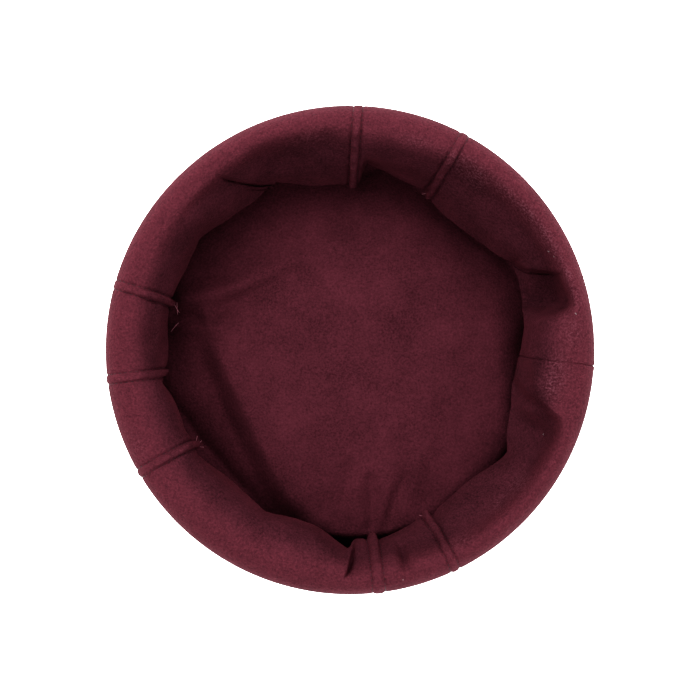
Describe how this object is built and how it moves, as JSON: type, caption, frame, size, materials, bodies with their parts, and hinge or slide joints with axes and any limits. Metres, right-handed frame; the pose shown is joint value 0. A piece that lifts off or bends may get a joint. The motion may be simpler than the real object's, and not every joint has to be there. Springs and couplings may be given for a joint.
{
  "type": "pakol hat",
  "caption": "Soft round fleece cap lying on its flat crown, with a rolled band, raised pin tucks and a wavy raw hem inside the open head hollow.",
  "frame": {"origin": "on the surface under the middle of the hat, where the crown's flat outer face rests", "axes": "+Z out of the head opening, +X towards the plain closing seam of the band, +Y towards the pair of close tucks"},
  "size_m": [0.2505, 0.251, 0.0711],
  "materials": {
    "crown_fleece": "brushed burgundy fleece",
    "band_fleece": "brushed burgundy fleece"
  },
  "bodies": {
    "root": {"crown": "crown_fleece", "rolled_band": "band_fleece"}
  },
  "joints": []
}
